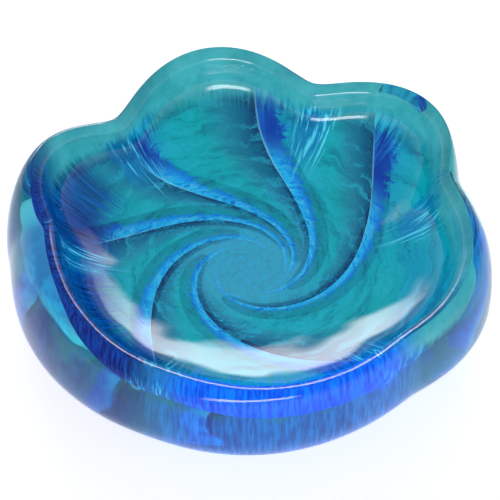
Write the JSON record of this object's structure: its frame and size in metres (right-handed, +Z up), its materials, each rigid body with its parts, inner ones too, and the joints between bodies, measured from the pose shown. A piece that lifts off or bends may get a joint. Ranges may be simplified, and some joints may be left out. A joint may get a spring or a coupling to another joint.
{
  "type": "art glass bowl",
  "caption": "Thick hand-worked glass bowl with a lobed rim, aqua glass and blue trails that swirl clockwise into the floor.",
  "frame": {"origin": "centre of the flat foot, on the surface the bowl stands on", "axes": "+Z up, -Y towards the low front of the rim, +X to the viewer's right from the front"},
  "size_m": [0.1631, 0.1586, 0.0471],
  "materials": {
    "lining_glass": "polished",
    "trail_glass": "polished",
    "casing_glass": "polished"
  },
  "bodies": {
    "root": {"inner_lining": "lining_glass", "blue_trail_1": "trail_glass", "blue_trail_2": "trail_glass", "blue_trail_3": "trail_glass", "blue_trail_4": "trail_glass", "blue_trail_5": "trail_glass", "blue_trail_6": "trail_glass", "outer_casing": "casing_glass"}
  },
  "joints": []
}
